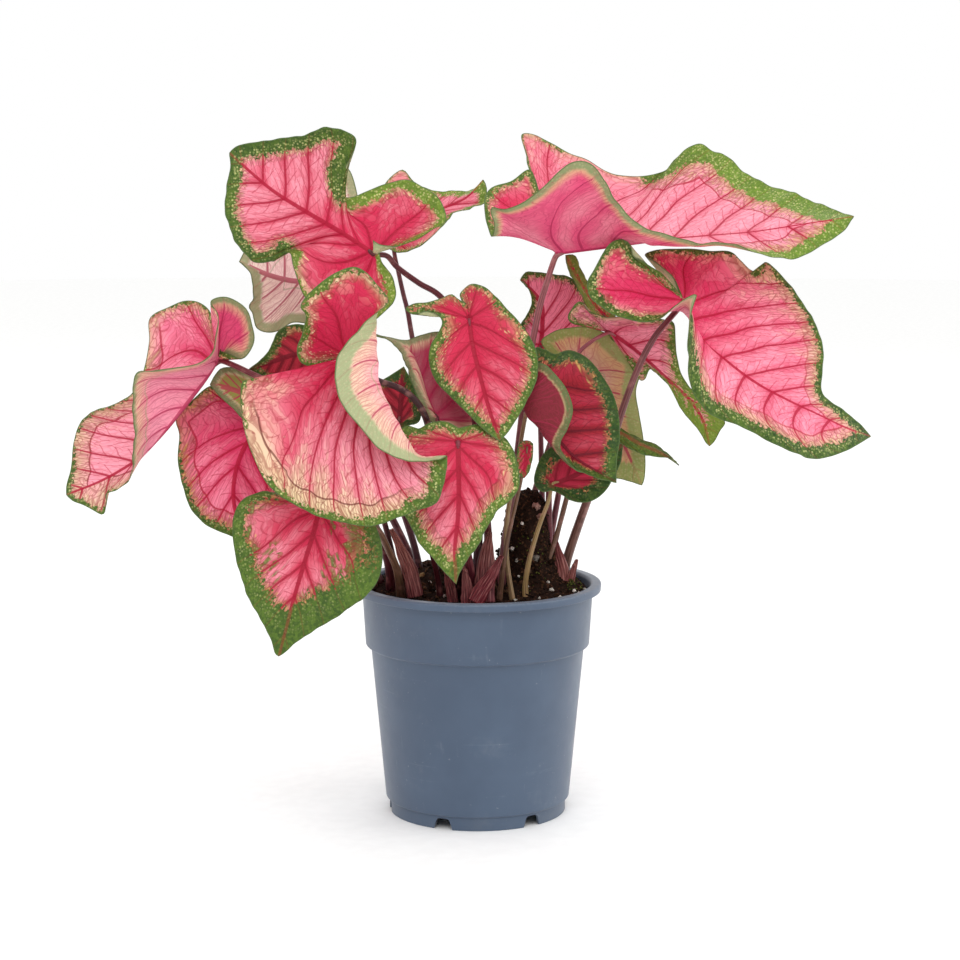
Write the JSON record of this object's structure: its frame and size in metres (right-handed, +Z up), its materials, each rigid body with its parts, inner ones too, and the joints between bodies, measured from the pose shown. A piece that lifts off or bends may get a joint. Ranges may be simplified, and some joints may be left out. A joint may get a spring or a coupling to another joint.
{
  "type": "potted caladium",
  "caption": "Caladium house plant: heart-shaped pink leaves with green margins on thin stalks, standing in soil in a round tapered nursery pot",
  "frame": {"origin": "centre of the pot's foot, on the surface that it stands on", "axes": "+Z up along the pot's axis, -Y towards the front of the plant, +X to the right as seen from the front"},
  "size_m": [0.3832, 0.197, 0.3303],
  "materials": {
    "pot_plastic": "injection-moulded polypropylene, slate blue, satin",
    "soil": "moist peat with perlite, dark brown, matt and loose",
    "pink_leaf": "living leaf, pink with crimson veins, cream specks and a green margin",
    "crimson_leaf": "living leaf in shade, crimson with a dark green margin",
    "green_leaf": "living leaf, green with pink mottling",
    "stalk_skin": "living leaf stalk, brown-purple, smooth with a soft shine",
    "sheath_skin": "old leaf sheath, brown-red with light veins, thin and dry"
  },
  "bodies": {
    "root": {"pot": "pot_plastic", "soil": "soil", "blade_upper_left": "pink_leaf", "blade_behind_left": "pink_leaf", "blade_top_centre": "pink_leaf", "blade_front": "pink_leaf", "blade_far_left": "pink_leaf", "blade_lower_left": "pink_leaf", "blade_small_olive": "green_leaf", "blade_left_centre": "crimson_leaf", "blade_lower_front": "green_leaf", "blade_front_centre": "pink_leaf", "blade_upper_centre": "pink_leaf", "blade_centre_back": "crimson_leaf", "blade_small_dark": "crimson_leaf", "blade_dark_folded": "crimson_leaf", "blade_small_lower": "crimson_leaf", "blade_upper_right": "pink_leaf", "blade_right": "pink_leaf", "blade_behind_stem": "pink_leaf", "blade_slanting": "green_leaf", "blade_right_underside": "pink_leaf", "blade_long_pink": "pink_leaf", "blade_edge_on": "green_leaf", "blade_small_green": "green_leaf", "blade_back_right": "pink_leaf", "blade_back_left": "pink_leaf", "blade_back_centre": "pink_leaf", "stalk_upper_left": "stalk_skin", "stalk_behind_left": "stalk_skin", "stalk_top_centre": "stalk_skin", "stalk_front": "stalk_skin", "stalk_far_left": "stalk_skin", "stalk_lower_left": "stalk_skin", "stalk_small_olive": "stalk_skin", "stalk_left_centre": "stalk_skin", "stalk_lower_front": "stalk_skin", "stalk_front_centre": "stalk_skin", "stalk_upper_centre": "stalk_skin", "stalk_centre_back": "stalk_skin", "stalk_small_dark": "stalk_skin", "stalk_dark_folded": "stalk_skin", "stalk_small_lower": "stalk_skin", "stalk_upper_right": "stalk_skin", "stalk_right": "stalk_skin", "stalk_behind_stem": "stalk_skin", "stalk_slanting": "stalk_skin", "stalk_right_underside": "stalk_skin", "stalk_long_pink": "stalk_skin", "stalk_edge_on": "stalk_skin", "stalk_small_green": "stalk_skin", "stalk_back_right": "stalk_skin", "stalk_back_left": "stalk_skin", "stalk_back_centre": "stalk_skin", "sheath_left": "sheath_skin", "sheath_centre": "sheath_skin", "sheath_front": "sheath_skin", "sheath_right": "sheath_skin"}
  },
  "joints": []
}
